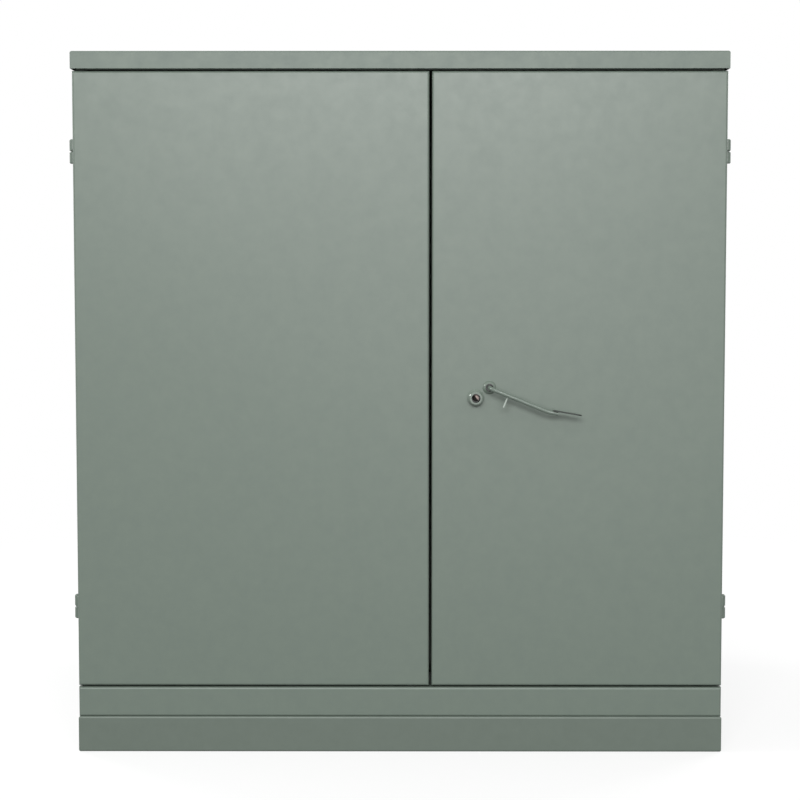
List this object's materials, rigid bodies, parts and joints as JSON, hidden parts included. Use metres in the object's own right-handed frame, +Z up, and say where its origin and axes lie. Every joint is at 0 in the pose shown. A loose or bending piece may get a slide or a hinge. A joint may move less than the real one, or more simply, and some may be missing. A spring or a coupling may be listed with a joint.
{
  "type": "compact substation",
  "caption": "Pad-mounted compact substation: grey-green steel cabinet with two hinged doors and a bent latch handle, terminals inside, and an oil tank with cooling fins behind.",
  "frame": {"origin": "on the pad, under the middle of the overall box", "axes": "+Z up, doors face -Y, +X to the right as seen from the doors"},
  "size_m": [1.528, 1.296, 1.623],
  "materials": {
    "cabinet_paint": "satin grey-green coat",
    "inner_paint": "satin grey-green coat",
    "zinc_steel": "zinc plated",
    "bolt_steel": "bare, dull",
    "blade_steel": "hot-rolled, dark",
    "core_steel": "stacked sheet",
    "coil_copper": "wound, varnished",
    "bushing_rubber": "moulded, satin",
    "fuse_resin": "moulded",
    "cast_grey": "cast",
    "insulator_resin": "glazed brown",
    "tinned_copper": "tinned",
    "stainless": "machined",
    "gauge_black": "black case",
    "needle_paint": "red paint",
    "gauge_glass": "clear",
    "valve_brass": "machined"
  },
  "bodies": {
    "enclosure": {"base_frame": "cabinet_paint", "front_sill": "cabinet_paint", "left_side_panel": "cabinet_paint", "right_side_panel": "cabinet_paint", "door_header": "inner_paint", "roof_lid": "cabinet_paint", "compartment_barrier": "inner_paint", "tank_front": "inner_paint", "tank_shell": "cabinet_paint", "tank_cover": "cabinet_paint", "cover_bolts": "zinc_steel", "fin_wall": "cabinet_paint", "lifting_lugs": "cabinet_paint", "core": "core_steel", "coil_1": "coil_copper", "coil_2": "coil_copper", "coil_3": "coil_copper", "hv_bushing_1": "bushing_rubber", "hv_bushing_2": "bushing_rubber", "hv_bushing_3": "bushing_rubber", "fuse_housings": "fuse_resin", "switch_boss": "cast_grey", "tap_boss": "cast_grey", "lv_insulators": "insulator_resin", "lv_blade_1": "tinned_copper", "lv_blade_2": "tinned_copper", "lv_blade_3": "tinned_copper", "lv_blade_4": "tinned_copper", "ground_pads": "stainless", "level_gauge": "gauge_black", "thermometer": "gauge_black", "gauge_lenses": "gauge_glass", "relief_valve": "valve_brass", "drain_valve": "valve_brass", "frame_hinges": "cabinet_paint"},
    "hv_door": {"hv_door": "cabinet_paint", "hv_stiffeners": "inner_paint", "hv_door_hinges": "cabinet_paint", "hv_bolt_guides": "zinc_steel"},
    "lv_door": {"lv_door": "cabinet_paint", "lv_stiffeners": "inner_paint", "lv_door_hinges": "cabinet_paint", "handle_boss": "cabinet_paint", "lock_collar": "cabinet_paint", "rod_guides": "zinc_steel"},
    "latch": {"latch_handle": "cabinet_paint", "padlock_blade": "blade_steel", "latch_cam": "zinc_steel"},
    "upper_rod": {"upper_rod": "zinc_steel"},
    "lower_rod": {"lower_rod": "zinc_steel"},
    "lock_bolt": {"lock_bolt": "bolt_steel"},
    "hv_upper_bolt": {"hv_upper_bolt": "zinc_steel"},
    "hv_lower_bolt": {"hv_lower_bolt": "zinc_steel"},
    "fuse_holder_1": {"fuse_holder_1": "fuse_resin"},
    "fuse_holder_2": {"fuse_holder_2": "fuse_resin"},
    "fuse_holder_3": {"fuse_holder_3": "fuse_resin"},
    "switch_handle": {"switch_handle": "cast_grey"},
    "tap_handle": {"tap_handle": "cast_grey"},
    "level_needle": {"level_needle": "needle_paint"},
    "temperature_needle": {"temperature_needle": "needle_paint"}
  },
  "joints": [
    {"name": "hv_door_hinge", "type": "hinge", "parent": "enclosure", "child": "hv_door", "pos_m": [-0.756, -0.5585, 0.866], "axis": [0, 0, -1], "range_deg": [0, 120]},
    {"name": "lv_door_hinge", "type": "hinge", "parent": "enclosure", "child": "lv_door", "pos_m": [0.756, -0.5585, 0.866], "axis": [0, 0, 1], "range_deg": [0, 120]},
    {"name": "handle_turn", "type": "hinge", "parent": "lv_door", "child": "latch", "pos_m": [0.2065, -0.598, 0.854], "axis": [0, 1, 0], "range_deg": [0, 68]},
    {"name": "upper_rod_slide", "type": "slide", "parent": "lv_door", "child": "upper_rod", "axis": [0, 0, 1], "range_m": [0, 0.03807]},
    {"name": "lower_rod_slide", "type": "slide", "parent": "lv_door", "child": "lower_rod", "axis": [0, 0, -1], "range_m": [0, 0.03807]},
    {"name": "lock_bolt_travel", "type": "slide", "parent": "lv_door", "child": "lock_bolt", "axis": [0, 1, 0], "range_m": [0, 0.0068]},
    {"name": "hv_upper_bolt_slide", "type": "slide", "parent": "hv_door", "child": "hv_upper_bolt", "axis": [0, 0, 1], "range_m": [0, 0.03]},
    {"name": "hv_lower_bolt_slide", "type": "slide", "parent": "hv_door", "child": "hv_lower_bolt", "axis": [0, 0, -1], "range_m": [0, 0.03]},
    {"name": "switch_turn", "type": "hinge", "parent": "enclosure", "child": "switch_handle", "pos_m": [-0.48325, -0.138, 0.703], "axis": [0, 1, 0], "range_deg": [0, 90]},
    {"name": "tap_turn", "type": "hinge", "parent": "enclosure", "child": "tap_handle", "pos_m": [-0.22325, -0.138, 0.703], "axis": [0, 1, 0], "range_deg": [-60, 60]},
    {"name": "fuse_pull_1", "type": "slide", "parent": "enclosure", "child": "fuse_holder_1", "axis": [0, -1, 0], "range_m": [0, 0.235]},
    {"name": "fuse_pull_2", "type": "slide", "parent": "enclosure", "child": "fuse_holder_2", "axis": [0, -1, 0], "range_m": [0, 0.235]},
    {"name": "fuse_pull_3", "type": "slide", "parent": "enclosure", "child": "fuse_holder_3", "axis": [0, -1, 0], "range_m": [0, 0.235]},
    {"name": "level_needle_turn", "type": "hinge", "parent": "enclosure", "child": "level_needle", "pos_m": [0.26675, -0.123, 1.303], "axis": [0, 1, 0], "range_deg": [-60, 60]},
    {"name": "temperature_needle_turn", "type": "hinge", "parent": "enclosure", "child": "temperature_needle", "pos_m": [0.52675, -0.123, 1.303], "axis": [0, 1, 0], "range_deg": [-130, 130]}
  ],
  "couplings": [
    {"joint": "upper_rod_slide", "follows": "handle_turn", "m_per_rad": 0.032039},
    {"joint": "lower_rod_slide", "follows": "handle_turn", "m_per_rad": 0.032039}
  ]
}
